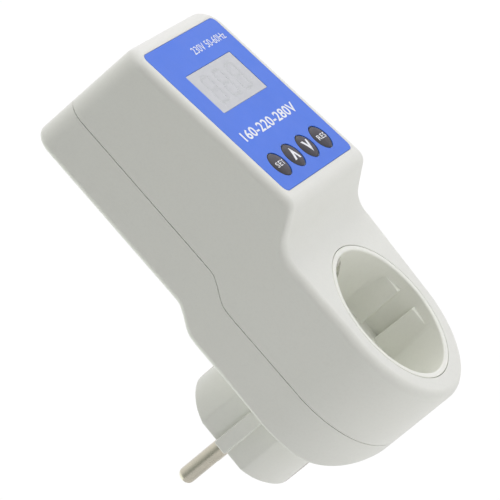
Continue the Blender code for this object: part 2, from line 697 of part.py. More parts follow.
for sz in (-1, 1):
    z0, z1 = sorted((sz * 17.0 * MM, sz * 22 * MM))
    cut(cover, box("groove_%d" % sz, None,
                   (-GROOVE / 2, 43.0 * MM, z0 + PLUG_RISE),
                   (GROOVE / 2, 60 * MM, z1 + PLUG_RISE)))
    z0, z1 = sorted((sz * 11 * MM, sz * 22 * MM))
    cut(cover, box("spring_way_%d" % sz, None,
                   (-GROOVE / 2, 39.6 * MM, z0 + PLUG_RISE),
                   (GROOVE / 2, 44.0 * MM, z1 + PLUG_RISE)))

# --------------------------------------------------------------- power board
PB_Y = 25.0 * MM
POWER_POSTS = ((-18.0 * MM, 58.0 * MM), (18.0 * MM, 58.0 * MM))
power = box("power_board", "board", (-22.4 * MM, PB_Y, 36.0 * MM),
            (22.4 * MM, PB_Y + 1.6 * MM, 81.5 * MM))
for (x, z), side in zip(POWER_POSTS, ("left", "right")):
    join(cover, rod("power_post_" + side, None, 2.8 * MM,
                    PB_Y + 1.6 * MM + GAP, back_y(z) - 1.2 * MM, x, z,
                    sides=20))
    cut(cover, rod("power_bore_" + side, None, 1.4 * MM, PB_Y,
                   PB_Y + 6.0 * MM, x, z, sides=12))
    cut(power, rod("power_hole_" + side, None, 1.6 * MM, PB_Y - 3 * MM,
                   PB_Y + 4 * MM, x, z, sides=14))
    turned("power_screw_" + side, "steel",
           [(0.0, PB_Y + 5.4 * MM), (1.1 * MM, PB_Y + 5.4 * MM),
            (1.1 * MM, PB_Y - 0.3 * MM), (2.5 * MM, PB_Y - 0.3 * MM),
            (2.5 * MM, PB_Y - 1.2 * MM), (2.0 * MM, PB_Y - 1.8 * MM),
            (0.0, PB_Y - 1.8 * MM)],
           x, z, steps=12)
top = PB_Y - GAP
box("relay", "relay", (-15.0 * MM, top - 15.4 * MM, 64.5 * MM),
    (14.0 * MM, top, 77.3 * MM), bevel=0.5 * MM, segments=1)
box("film_capacitor", "film_cap", (-14.0 * MM, top - 12.0 * MM, 44.5 * MM),
    (4.0 * MM, top, 52.5 * MM), bevel=0.5 * MM, segments=1)
turned("filter_capacitor", "can",
       [(0.0, top), (4.9 * MM, top), (4.9 * MM, top - 13.2 * MM),
        (4.3 * MM, top - 13.8 * MM), (0.0, top - 13.8 * MM)],
       12.5 * MM, 46.5 * MM, steps=24)
prism("varistor", "varistor",
      [(7.0 * MM * math.cos(math.radians(a)), 7.0 * MM * math.sin(math.radians(a)))
       for a in range(0, 360, 15)], -18.6 * MM, -14.4 * MM,
      rotation=SIDEWAYS, location=(0, top - 7.4 * MM, 48.5 * MM))
bm = bmesh.new()
bmesh.ops.create_cone(bm, cap_ends=True, segments=16, radius1=2.0 * MM,
                      radius2=2.0 * MM, depth=11.0 * MM)
resistor = bpy.data.objects.new("dropper_resistor", mesh_from(bm, "dropper_resistor"))
place(resistor, "resistor", frame, (-3.0 * MM, top - 2.4 * MM, 57.4 * MM),
      (0.0, math.pi / 2, 0.0))

wire("live_in_wire", "brown",
     [(-9.5, 42.4, 1.2), (-9.5, 39.5, 4.6), (-9.6, 35.6, 6.8),
      (-9.9, 32.8, 9.0), (-10.8, 31.8, 13.5), (-12.4, 31.4, 20.0),
      (-13.2, 30.4, 28.0), (-13.5, 28.9, 35.0), (-13.5, 28.3, 43.0)], 1.1 * MM)
wire("live_out_wire", "brown",
     [(-9.5, 27.0, 5.3), (-9.3, 29.2, 6.6), (-8.5, 30.6, 11.0),
      (-6.6, 31.2, 19.0), (-5.2, 30.4, 28.0), (-5.0, 28.9, 35.0),
      (-5.0, 28.3, 43.0)], 1.1 * MM)
wire("neutral_wire", "blue",
     [(9.5, 27.0, 5.3), (9.3, 29.2, 6.6), (8.5, 30.6, 11.0),
      (6.6, 31.2, 19.0), (5.2, 30.4, 28.0), (5.0, 28.9, 35.0),
      (5.0, 28.3, 43.0)], 1.1 * MM)
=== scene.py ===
# Visual model of a plug-in voltage relay with a pass-through earthed socket.
# Row frame, metres: front -Y, plug pins +Y, key panel up (+Z), origin on the
# plug's axis at its sole.
import math

import bmesh
import bpy
from mathutils import Matrix, Vector


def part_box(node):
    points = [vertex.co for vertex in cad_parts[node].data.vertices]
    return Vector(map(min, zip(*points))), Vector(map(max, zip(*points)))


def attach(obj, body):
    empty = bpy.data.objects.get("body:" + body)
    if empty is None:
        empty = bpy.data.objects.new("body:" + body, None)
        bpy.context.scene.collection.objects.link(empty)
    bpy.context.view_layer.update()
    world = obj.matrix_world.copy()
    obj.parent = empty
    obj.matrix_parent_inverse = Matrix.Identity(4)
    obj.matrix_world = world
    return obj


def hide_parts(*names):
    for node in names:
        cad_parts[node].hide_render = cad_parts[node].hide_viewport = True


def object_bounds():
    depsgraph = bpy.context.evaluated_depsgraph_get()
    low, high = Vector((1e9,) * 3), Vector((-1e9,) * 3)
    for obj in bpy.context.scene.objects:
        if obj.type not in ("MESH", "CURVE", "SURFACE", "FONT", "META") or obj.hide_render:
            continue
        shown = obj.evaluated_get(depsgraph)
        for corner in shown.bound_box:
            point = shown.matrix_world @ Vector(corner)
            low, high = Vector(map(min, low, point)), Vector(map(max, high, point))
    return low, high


MM = 0.001
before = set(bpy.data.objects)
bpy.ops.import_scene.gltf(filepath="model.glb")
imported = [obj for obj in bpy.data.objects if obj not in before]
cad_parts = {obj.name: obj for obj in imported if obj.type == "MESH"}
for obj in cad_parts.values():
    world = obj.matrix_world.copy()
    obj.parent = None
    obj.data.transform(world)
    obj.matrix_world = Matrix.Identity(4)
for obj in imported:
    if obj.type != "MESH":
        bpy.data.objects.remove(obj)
cad_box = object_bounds()
housing = "housing"

# ------------------------------------------------------------ main dimensions
# These repeat the CAD part's, in metres.
GAP = 0.3 * MM
PLUG_RISE = 0.7 * MM
SOLE_DEPTH = 56.5 * MM
BASE_R = 27.4 * MM
HIP_Z = 24.0 * MM
HIP_HALF = 28.9 * MM
HEAD_HALF = 27.5 * MM
HEAD_Z = 39.0 * MM
TOP_Z = 95.8 * MM
TOP_CORNER = 6.5 * MM
EDGE_R = 2.5 * MM
TOP_EDGE_R = 3.1 * MM
BACK_EDGE_R = 2.0 * MM
TILT = math.radians(8.57)
LABEL_Y = -10.33 * MM
LABEL_Z = 40.74 * MM
LABEL_W = 48.2 * MM
LABEL_H = 51.9 * MM
LABEL_T = 0.35 * MM
LABEL_CORNER = 2.0 * MM
POCKET = 0.65 * MM
NECK_SLOPE = math.radians(55.0)
NECK_Z = 29.4 * MM
NECK_HOLLOW = 8.1 * MM
NECK_BROW = 3.5 * MM
BACK_Y = 37.2 * MM
HEAD_BACK_Y = 33.9 * MM
HEAD_BACK_RISE = 0.0353
STEP_Z0 = 27.5 * MM
STEP_Z1 = 38.0 * MM
COVER_DEPTH = 14.1 * MM
HEEL_Z = -13.4 * MM
HEEL_L = 14.6 * MM
HEEL_D = 13.2 * MM
WALL = 2.5 * MM
REBATE = 1.2 * MM
WELL_R = 19.75 * MM
WELL_DEPTH = 17.5 * MM
CUP_R = 21.3 * MM
CUP_BACK = 20.3 * MM
PAD_X = 16.9 * MM
PAD_DRAFT = 0.95 * MM
PAD_TOP = 3.3 * MM
CHANNEL = 5.8 * MM
PIN_PITCH = 19.0 * MM
CONTACT_HOLE = 5.5 * MM
EARTH_SLOT = 7.0 * MM
EARTH_SLOT_TOP = {1: 2.8 * MM, -1: 4.6 * MM}
PLUG_R = 18.4 * MM
PLUG_FLAT = 16.6 * MM
PLUG_RIB = 4.2 * MM
PLUG_BORE = 15.2 * MM
SOLE_T = 5.3 * MM
SOLE_EDGE = 0.5 * MM
PIN_D = 4.8 * MM
PIN_L = 19.0 * MM
GROOVE = 6.8 * MM
WINDOW_W = 30.8 * MM
WINDOW_H = 14.1 * MM
WINDOW_S = 34.0 * MM
KEY_D = 7.6 * MM
KEY_S = 7.3 * MM
KEY_X = {"set": -15.0 * MM, "up": -5.0 * MM, "down": 5.0 * MM,
         "reset": 15.0 * MM}
BOARD_D = 9.2 * MM
SCREWS = {"top_left": (-21.1 * MM, 87.8 * MM), "top_right": (21.1 * MM, 87.8 * MM),
          "low_left": (-21.1 * MM, 30.0 * MM), "low_right": (21.1 * MM, 30.0 * MM)}
HEEL_EDGE_R = 0.8 * MM        # the back edge is crisper round the heel
SEAM_R = 0.10 * MM            # rounded lips of the parting line

# the socket rim's centre: the cup's front face, at the height of the contacts
# (the cup's own box is not symmetric, because its two earth slots differ)
_lo, _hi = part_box("contact_live")
RIM = Matrix.Translation((0.0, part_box("socket_cup")[0].y, (_lo.z + _hi.z) / 2))
PLUG = RIM @ Matrix.Translation((0.0, 0.0, PLUG_RISE))
LABEL = (RIM @ Matrix.Translation((0.0, LABEL_Y, LABEL_Z))
         @ Matrix.Rotation(-TILT, 4, "X"))


# ------------------------------------------------------------- mesh building
def to_object(bm, name, matrix):
    bm.transform(matrix)
    bmesh.ops.recalc_face_normals(bm, faces=bm.faces)
    mesh = bpy.data.meshes.new(name)
    bm.to_mesh(mesh)
    bm.free()
    obj = bpy.data.objects.new(name, mesh)
    bpy.context.scene.collection.objects.link(obj)
    return obj


def skin(rings, name, matrix, closed=True):
    """A body through rings of points, with flat ends."""
    bm = bmesh.new()
    loops = [[bm.verts.new(p) for p in ring] for ring in rings]
    for a, b in zip(loops, loops[1:]):
        for i in range(len(a)):
            j = (i + 1) % len(a)
            bm.faces.new((a[i], a[j], b[j], b[i]))
    if closed:
        bm.faces.new(loops[0])
        bm.faces.new(loops[-1][::-1])
    return to_object(bm, name, matrix)


def prism(points, d0, d1, name, matrix):
    """An outline of (across, up) points, from depth d0 to depth d1."""
    return skin([[(u, d, v) for u, v in points] for d in (d0, d1)], name, matrix)


def turned(profile, x, z, name, matrix, steps=96, loop=False):
    """A turned piece about the depth axis, from (radius, depth) points."""
    bm = bmesh.new()
    rings = []
    for r, d in profile:
        if r < 1e-9:
            rings.append([bm.verts.new((x, d, z))])
        else:
            rings.append([bm.verts.new((x + r * math.cos(2 * math.pi * k / steps), d,
                                        z + r * math.sin(2 * math.pi * k / steps)))
                          for k in range(steps)])
    pairs = list(zip(rings, rings[1:])) + ([(rings[-1], rings[0])] if loop else [])
    for a, b in pairs:
        for k in range(steps):
            n = (k + 1) % steps
            quad = [a[k % len(a)], a[n % len(a)], b[n % len(b)], b[k % len(b)]]
            quad = [v for i, v in enumerate(quad) if v not in quad[:i]]
            if len(quad) > 2:
                bm.faces.new(quad)
    return to_object(bm, name, matrix)


def block(lo, hi, name, matrix, bevel=0.0, segments=3):
    bm = bmesh.new()
    bmesh.ops.create_cube(bm, size=1.0)
    lo, hi = Vector(lo), Vector(hi)
    bmesh.ops.scale(bm, vec=hi - lo, verts=bm.verts)
    bmesh.ops.translate(bm, vec=(lo + hi) / 2, verts=bm.verts)
    if bevel:
        bmesh.ops.bevel(bm, geom=bm.edges[:] + bm.verts[:], offset=bevel,
                        segments=segments, profile=0.5, affect="EDGES")
    return to_object(bm, name, matrix)


def arc(cx, cy, r, start, stop, n):
    return [(cx + r * math.cos(math.radians(start + (stop - start) * k / n)),
             cy + r * math.sin(math.radians(start + (stop - start) * k / n)))
            for k in range(n + 1)]


def rounded(w, h, r, cx=0.0, cy=0.0, steps=10):
    pts = []
    for qx, qy, start in ((1, 1, 0), (-1, 1, 90), (-1, -1, 180), (1, -1, 270)):
        pts += arc(cx + qx * (w / 2 - r), cy + qy * (h / 2 - r), r, start,
                   start + 90, steps)
    return pts


def fillet(points, radii, steps=5):
    """Rounds the corners of a closed outline."""
    out = []
    n = len(points)
    for i, (p, r) in enumerate(zip(points, radii)):
        if r <= 0:
            out.append(tuple(p))
            continue
        p = Vector(p)
        a = (Vector(points[i - 1]) - p).normalized()
        b = (Vector(points[(i + 1) % n]) - p).normalized()
        half = a.angle(b) / 2
        reach = r / math.tan(half)
        centre = p + (a + b).normalized() * (r / math.sin(half))
        s, e = p + a * reach - centre, p + b * reach - centre
        turn = s.angle_signed(e)
        for k in range(steps + 1):
            v = s.copy()
            v.rotate(Matrix.Rotation(-turn * k / steps, 2))
            out.append(tuple(centre + v))
    return out


def evaluated(obj):
    dg = bpy.context.evaluated_depsgraph_get()
    mesh = bpy.data.meshes.new_from_object(obj.evaluated_get(dg))
    obj.modifiers.clear()
    old = obj.data
    obj.data = mesh
    bpy.data.meshes.remove(old)
    return obj


def tidy(obj, reach=0.0000005):
    """Merges the coincident points that a cut leaves."""
    bm = bmesh.new()
    bm.from_mesh(obj.data)
    bmesh.ops.remove_doubles(bm, verts=bm.verts, dist=reach)
    bmesh.ops.dissolve_degenerate(bm, edges=bm.edges, dist=reach)
    bm.to_mesh(obj.data)
    bm.free()
    return obj


def boolean(obj, tools, operation="DIFFERENCE"):
    for tool in tools if isinstance(tools, (list, tuple)) else [tools]:
        mod = obj.modifiers.new("boolean", "BOOLEAN")
        mod.operation = operation
        mod.solver = "EXACT"
        mod.object = tool
        tidy(evaluated(obj))
        bpy.data.objects.remove(tool, do_unlink=True)
    return obj


def together(name, *objs):
    """Several separate bodies as one object."""
    bm = bmesh.new()
    for o in objs:
        bm.from_mesh(o.data)
    for o in objs:
        bpy.data.objects.remove(o, do_unlink=True)
    return to_object(bm, name, Matrix.Identity(4))


def smooth_edges(obj, angle=34.0, weighted=True):
    tidy(obj, 0.000002)
    obj.data.shade_smooth()
    obj.data.set_sharp_from_angle(angle=math.radians(angle))
    if weighted:
        mod = obj.modifiers.new("shading", "WEIGHTED_NORMAL")
        mod.keep_sharp = True
        mod.weight = 90
    return obj


def bevel_edges(obj, width, segments=2, angle=40.0):
    mod = obj.modifiers.new("edges", "BEVEL")
    mod.width = width
    mod.segments = segments
    mod.limit_method = "ANGLE"
    mod.angle_limit = math.radians(angle)
    return evaluated(obj)


# ---------------------------------------------------------------- materials
def finish(name, colour, rough, metallic=0.0, grain=0.3, depth=0.004,
           mottle=9.0, shift=0.03, sheen=0.10, coat=0.0, warm=None, turned_lines=0.0,
           specks=0.0, ior=1.5):
    """A surface with fine grain in its relief, slow drift in its colour and
    patches in its gloss.  grain, depth and mottle are in millimetres."""
    mat = bpy.data.materials.new(name)
    mat.use_nodes = True
    nodes, links = mat.node_tree.nodes, mat.node_tree.links
    bsdf = nodes["Principled BSDF"]
    bsdf.inputs["Metallic"].default_value = metallic
    bsdf.inputs["IOR"].default_value = ior
    bsdf.inputs["Coat Weight"].default_value = coat
    bsdf.inputs["Coat Roughness"].default_value = 0.12
    where = nodes.new("ShaderNodeTexCoord")

    def noise(size, detail, rough_=0.5):
        n = nodes.new("ShaderNodeTexNoise")
        n.inputs["Scale"].default_value = 1.0 / (size * MM)
        n.inputs["Detail"].default_value = detail
        n.inputs["Roughness"].default_value = rough_
        links.new(where.outputs["Object"], n.inputs["Vector"])
        return n.outputs["Fac"]

    def spread(value, lo, hi, frm=(0.3, 0.7)):
        m = nodes.new("ShaderNodeMapRange")
        m.inputs["From Min"].default_value, m.inputs["From Max"].default_value = frm
        m.inputs["To Min"].default_value, m.inputs["To Max"].default_value = lo, hi
        links.new(value, m.inputs["Value"])
        return m.outputs["Result"]

    # colour: slow drift between two close tones, then fine speckle
    dark = [c * (1 - shift) for c in colour]
    light = [min(1.0, c * (1 + shift)) for c in (warm or colour)]
    mix = nodes.new("ShaderNodeMix")
    mix.data_type = "RGBA"
    mix.inputs["A"].default_value = (*dark, 1.0)
    mix.inputs["B"].default_value = (*light, 1.0)
    links.new(spread(noise(mottle, 3.0), 0.0, 1.0), mix.inputs["Factor"])
    colour_out = mix.outputs["Result"]
    if specks:
        fleck = nodes.new("ShaderNodeMix")
        fleck.data_type = "RGBA"
        fleck.blend_type = "MULTIPLY"
        fleck.inputs["B"].default_value = (1 - specks, 1 - specks, 1 - specks, 1.0)
        links.new(spread(noise(grain * 2.2, 2.0), 0.0, 1.0, (0.45, 0.75)),
                  fleck.inputs["Factor"])
        links.new(colour_out, fleck.inputs["A"])
        colour_out = fleck.outputs["Result"]
    links.new(colour_out, bsdf.inputs["Base Color"])
    # gloss: broad patches and handling marks
    links.new(spread(noise(mottle * 0.45, 4.0, 0.6), max(0.02, rough * (1 - sheen)),
                     min(1.0, rough * (1 + sheen))), bsdf.inputs["Roughness"])
    # relief
    bump = nodes.new("ShaderNodeBump")
    bump.inputs["Strength"].default_value = 1.0
    bump.inputs["Distance"].default_value = depth * MM
    if turned_lines:
        wave = nodes.new("ShaderNodeTexWave")
        wave.wave_type = "BANDS"
        wave.bands_direction = "Y"
        wave.inputs["Scale"].default_value = 1.0 / (turned_lines * MM) / 6.2832 * 3.14159
        wave.inputs["Distortion"].default_value = 1.2
        wave.inputs["Detail"].default_value = 2.0
        links.new(where.outputs["Object"], wave.inputs["Vector"])
        links.new(wave.outputs["Fac"], bump.inputs["Height"])
    else:
        links.new(noise(grain, 2.0, 0.55), bump.inputs["Height"])
    links.new(bump.outputs["Normal"], bsdf.inputs["Normal"])
    return mat


ABS = finish("moulded_abs", (0.780, 0.797, 0.734), 0.46, grain=0.34, depth=0.010,
             mottle=14.0, shift=0.005, sheen=0.10, warm=(0.772, 0.786, 0.722), specks=0.02)
# The socket cup is the housing's ABS painted about nine percent lighter. This is painted light
# standing in for the light inside the well.
CUP_ABS_PAINTED_LIGHT = finish("cup_abs_painted_light", (0.852, 0.866, 0.790), 0.42, grain=0.34, depth=0.008,
                 mottle=10.0, shift=0.014, sheen=0.12, specks=0.02)
FILM = finish("printed_film", (0.034, 0.165, 0.760), 0.42, grain=0.22, depth=0.006,
              mottle=16.0, shift=0.02, sheen=0.12, coat=0.15, specks=0.03)
INK = finish("white_ink", (0.83, 0.86, 0.88), 0.45, grain=0.18, depth=0.004,
             mottle=3.0, shift=0.02, specks=0.04)
PANE = finish("display_pane", (0.560, 0.585, 0.580), 0.22, grain=1.3, depth=0.006,
              mottle=4.5, shift=0.03, sheen=0.25, coat=0.35, specks=0.02)
SEGMENT = finish("display_segment", (0.516, 0.541, 0.534), 0.5, grain=1.0,
                 depth=0.003, mottle=4.0, shift=0.02, coat=0.3)
LCD = finish("display_glass", (0.46, 0.50, 0.44), 0.18, grain=2.0, depth=0.002,
             mottle=8.0, shift=0.02, coat=0.5)
WHITE = finish("white_plastic", (0.80, 0.80, 0.77), 0.42, grain=0.3, depth=0.006,
               mottle=8.0, shift=0.02)
KEY = finish("key_rubber", (0.040, 0.037, 0.042), 0.48, grain=0.16, depth=0.007,
             mottle=3.0, shift=0.10, sheen=0.18, specks=0.08)
SWITCH = finish("switch_black", (0.03, 0.03, 0.032), 0.42, grain=0.2, depth=0.005,
                mottle=3.0, shift=0.08)
NICKEL = finish("nickel_plate", (0.56, 0.545, 0.455), 0.30, metallic=1.0, grain=0.2,
                depth=0.0003, mottle=3.5, shift=0.05, sheen=0.12,
                warm=(0.57, 0.54, 0.44), turned_lines=0.12)
SPRING = finish("sprung_nickel", (0.58, 0.57, 0.52), 0.26, metallic=1.0, grain=0.25,
                depth=0.002, mottle=2.5, shift=0.07, sheen=0.3)
BRASS = finish("brass", (0.71, 0.54, 0.24), 0.30, metallic=1.0, grain=0.2,
               depth=0.002, mottle=3.0, shift=0.08, sheen=0.3,
               warm=(0.74, 0.58, 0.30))
STEEL = finish("zinc_steel", (0.50, 0.50, 0.49), 0.34, metallic=1.0, grain=0.12,
               depth=0.003, mottle=2.0, shift=0.10, sheen=0.3,
               warm=(0.56, 0.54, 0.46))
BOARD = finish("board_green", (0.035, 0.20, 0.075), 0.36, grain=0.5, depth=0.010,
               mottle=5.0, shift=0.10, coat=0.3, specks=0.15)
CHIP = finish("chip_black", (0.018, 0.018, 0.019), 0.50, grain=0.12, depth=0.006,
              mottle=2.0, shift=0.15, specks=0.1)
RELAY = finish("relay_case", (0.03, 0.07, 0.28), 0.38, grain=0.35, depth=0.006,
               mottle=6.0, shift=0.06)
CAP_YELLOW = finish("film_capacitor_case", (0.55, 0.34, 0.05), 0.36, grain=0.5,
                    depth=0.008, mottle=5.0, shift=0.06)
CAP_BLACK = finish("can_sleeve", (0.03, 0.03, 0.04), 0.30, grain=0.4, depth=0.004,
                   mottle=4.0, shift=0.10, coat=0.2)
VARISTOR = finish("varistor_epoxy", (0.04, 0.13, 0.42), 0.34, grain=0.8,
                  depth=0.02, mottle=3.0, shift=0.08, coat=0.3)
RESISTOR = finish("resistor_lacquer", (0.50, 0.40, 0.27), 0.42, grain=0.5,
                  depth=0.012, mottle=2.5, shift=0.08)
WIRE_BROWN = finish("wire_brown", (0.14, 0.06, 0.03), 0.42, grain=0.4, depth=0.006,
                    mottle=4.0, shift=0.06)
WIRE_BLUE = finish("wire_blue", (0.03, 0.10, 0.40), 0.42, grain=0.4, depth=0.006,
                   mottle=4.0, shift=0.06)


def wear(obj, *mats):
    obj.data.materials.clear()
    for mat in mats:
        obj.data.materials.append(mat)
    return obj


def keep(obj, mat, body, slot, *nodes):
    """Dresses a finished piece, sets it on its body and lets it stand for nodes."""
    wear(obj, mat)
    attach(obj, body)
    if nodes:
        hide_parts(*nodes)
    return obj


# ------------------------------------------------------------ the body's form
def label_line(z):
    return LABEL_Y + (z - LABEL_Z) * math.tan(TILT)


_neck = (-math.sin(NECK_SLOPE), math.cos(NECK_SLOPE))
_k = (-LABEL_Y - (NECK_Z - LABEL_Z) * math.tan(TILT)) / (
    math.sin(NECK_SLOPE) + math.cos(NECK_SLOPE) * math.tan(TILT))
BROW = (_neck[0] * _k, NECK_Z + _neck[1] * _k)
_t0 = NECK_HOLLOW * math.tan(NECK_SLOPE / 2)
_t1 = NECK_BROW * math.tan((NECK_SLOPE + TILT) / 2)
HOLLOW_Z0 = NECK_Z - _t0
HOLLOW_Z1 = NECK_Z + _t0 * math.cos(NECK_SLOPE)
BROW_Z0 = BROW[1] - _t1 * math.cos(NECK_SLOPE)
BROW_Z1 = BROW[1] + _t1 * math.cos(TILT)
_bc = (BROW[0] + _t1 * math.sin(TILT) + NECK_BROW * math.cos(TILT),
       BROW_Z1 - NECK_BROW * math.sin(TILT))


def front_y(z):
    if z <= HOLLOW_Z0:
        return 0.0
    if z <= HOLLOW_Z1:
        return -NECK_HOLLOW + math.sqrt(max(0.0, NECK_HOLLOW ** 2 - (z - HOLLOW_Z0) ** 2))
    if z <= BROW_Z0:
        return -(z - NECK_Z) * math.tan(NECK_SLOPE)
    if z < BROW_Z1:
        return _bc[0] - math.sqrt(max(0.0, NECK_BROW ** 2 - (z - _bc[1]) ** 2))
    return label_line(z)


def smooth(t):
    t = min(1.0, max(0.0, t))
    return t * t * (3 - 2 * t)


def back_y(z):
    head = HEAD_BACK_Y + (z - STEP_Z1) * HEAD_BACK_RISE
    t = smooth((z - STEP_Z0) / (STEP_Z1 - STEP_Z0))
    heel = min(1.0, max(0.0, (HEEL_Z - z) / HEEL_L))
    return (BACK_Y * (1 - t) + head * t
            - HEEL_D * (1 - math.sqrt(1 - heel * heel)))


def split_y(z):
    return back_y(max(z, HEEL_Z)) - COVER_DEPTH


def half_width(z):
    if z <= HIP_Z:
        return BASE_R + (HIP_HALF - BASE_R) * max(0.0, z) / HIP_Z
    t = smooth((z - HIP_Z) / (HEAD_Z - HIP_Z))
    return HIP_HALF * (1 - t) + HEAD_HALF * t


def steps_between(a, b, n):
    return [a + (b - a) * k / n for k in range(1, n + 1)]


def levels():
    zs = steps_between(0.0, HIP_Z, 6) + [HOLLOW_Z0]
    zs += steps_between(HOLLOW_Z0, HOLLOW_Z1, 12)
    zs += steps_between(HOLLOW_Z1, BROW_Z0, 2)
    zs += steps_between(BROW_Z0, BROW_Z1, 10)
    zs += steps_between(BROW_Z1, 87.0 * MM, 7)
    return sorted(set(round(z, 8) for z in zs))


def low_part(z):
    """1 at the round bottom of the body, fading to 0 above the well."""
    return 1.0 - smooth((z + 6.0 * MM) / (30.0 * MM))


def outline(off, top=None, low=None):
    top = off if top is None else top
    low = off if low is None else low
    pts = []
    n = 40
    for k in range(n + 1):
        a = math.radians(-90.0 + 90.0 * k / n)
        r = BASE_R - off - (low - off) * low_part(BASE_R * math.sin(a))
        pts.append((r * math.cos(a) if k else 0.0, r * math.sin(a)))
    for z in levels():
        if z > 1e-6:
            pts.append((half_width(z) - off - (low - off) * low_part(z), z))
    cx, cz = HEAD_HALF - TOP_CORNER, TOP_Z - TOP_CORNER
    m = 14
    for k in range(m + 1):
        a = math.radians(90.0 * k / m)
        r = TOP_CORNER - off - (top - off) * k / m
        pts.append((cx + r * math.cos(a), cz + r * math.sin(a)))
    return pts


def loft(name, rings):
    bm = bmesh.new()
    loops, sides = [], []
    for off, f, *edges in rings:
        right = [bm.verts.new((x, f(z), z)) for x, z in outline(off, *edges)]
        left = [right[0]] + [bm.verts.new((-v.co.x, v.co.y, v.co.z))
                             for v in right[1:]]
        sides.append((right, left))
        loops.append(right + left[:0:-1])
    for a, b in zip(loops, loops[1:]):
        for i in range(len(a)):
            j = (i + 1) % len(a)
            bm.faces.new((a[i], a[j], b[j], b[i]))
    for right, left in (sides[0], sides[-1]):
        bm.faces.new((right[0], right[1], left[1]))
        for i in range(1, len(right) - 1):
            bm.faces.new((right[i], right[i + 1], left[i + 1], left[i]))
    return to_object(bm, name, RIM)


def rounding(r, surface, sign, n=9, top_r=None, low_r=None):
    top_r, low_r = top_r or r, low_r or r
    rings = []
    for k in range(n + 1):
        a = math.pi / 2 * k / n
        u, v = 1 - math.sin(a), 1 - math.cos(a)

        def depth(z, v=v):
            t = smooth((z - (TOP_Z - TOP_CORNER)) / (TOP_CORNER - top_r))
            return surface(z) + sign * v * (r + (top_r - r) * t
                                            + (low_r - r) * low_part(z))
        rings.append((r * u, depth, top_r * u, low_r * u))
    return rings if sign > 0 else rings[::-1]


def lip(surface, sign, n=3):
    """Tiny rounded edge at the parting line."""
    rings = []
    for k in range(n + 1):
        a = math.pi / 2 * k / n
        rings.append((SEAM_R * (1 - math.cos(a)),
                      lambda z, a=a: surface(z) - sign * SEAM_R * (1 - math.sin(a))))
    return rings if sign > 0 else rings[::-1]


# --------------------------------------------------------------- front shell
shell = loft("case_front", rounding(EDGE_R, front_y, 1, 9, TOP_EDGE_R)
             + lip(split_y, 1))
boolean(shell, [
    loft("cavity", [(WALL, lambda z: front_y(z) + WALL),
                    (WALL, lambda z: split_y(z) + MM)]),
    loft("rebate", [(REBATE, lambda z: split_y(z) - 1.8 * MM),
                    (REBATE, lambda z: split_y(z) + MM)])])
posts, bores = [], []
for name, (x, z) in SCREWS.items():
    near = max(front_y(z) + 1.3 * MM, front_y(z - 3.5 * MM) + 0.5 * MM)
    posts.append(turned([(0, near), (3.5 * MM, near),
                         (3.5 * MM, split_y(z) - 0.4 * MM), (0, split_y(z) - 0.4 * MM)],
                        x, z, "post", RIM, 32))
    bores.append(turned([(0, split_y(z) - 12 * MM), (1.8 * MM, split_y(z) - 12 * MM),
                         (1.8 * MM, split_y(z) + 2 * MM), (0, split_y(z) + 2 * MM)],
                        x, z, "bore", RIM, 24))
for x in (-19.6 * MM, 19.6 * MM):
    posts.append(turned([(0, 1.4 * MM), (2.8 * MM, 1.4 * MM),
                         (2.8 * MM, BOARD_D - GAP), (0, BOARD_D - GAP)],
                        x, 17.6 * MM, "post", LABEL, 32))
    bores.append(turned([(0, 4 * MM), (1.4 * MM, 4 * MM), (1.4 * MM, BOARD_D + MM),
                         (0, BOARD_D + MM)], x, 17.6 * MM, "bore", LABEL, 20))
boolean(shell, together("posts", *posts), "UNION")


def flared(outline_at, flare, top, bottom, name, matrix, n=4):
    """A cutter whose mouth opens out as a small rounded edge at depth 0."""
    rings = [[(u, top, v) for u, v in outline_at(flare)]]
    for k in range(n + 1):
        a = math.pi / 2 * k / n
        rings.append([(u, flare * math.sin(a) - 0.017 * MM, v)
                      for u, v in outline_at(flare * (1 - math.sin(a)))])
    rings.append([(u, bottom, v) for u, v in outline_at(0.0)])
    return skin(rings, name, matrix)


def circle_at(r, x=0.0, z=0.0, steps=96):
    return lambda o: [(x + (r + o) * math.cos(2 * math.pi * k / steps),
                       z + (r + o) * math.sin(2 * math.pi * k / steps))
                      for k in range(steps)]


def rect_at(w, h, r, cx=0.0, cy=0.0, steps=10):
    return lambda o: rounded(w + 2 * o, h + 2 * o, r + o, cx, cy, steps)


window_hole = prism(rounded(WINDOW_W + 1.2 * MM, WINDOW_H + 1.2 * MM, 0.5 * MM,
                            0, WINDOW_S, 4), 0.1 * MM, 5 * MM, "window_hole", LABEL)
key_holes = [prism(circle_at(KEY_D / 2 + GAP, x, KEY_S, 48)(0), 0.1 * MM, 5 * MM,
                   "key_hole", LABEL) for x in KEY_X.values()]
boolean(shell, [
    together("bores", *bores),
    flared(circle_at(CUP_R + 0.16 * MM), 0.14 * MM, -3 * MM, 6 * MM, "cup_hole", RIM),
    flared(rect_at(LABEL_W + 0.2 * MM, LABEL_H + 0.2 * MM, LABEL_CORNER + 0.1 * MM,
                   0, LABEL_H / 2), 0.10 * MM, -2 * MM, POCKET, "pocket", LABEL),
    together("panel_holes", window_hole, *key_holes)])
smooth_edges(shell)
keep(shell, ABS, housing, "abs", "front_shell")


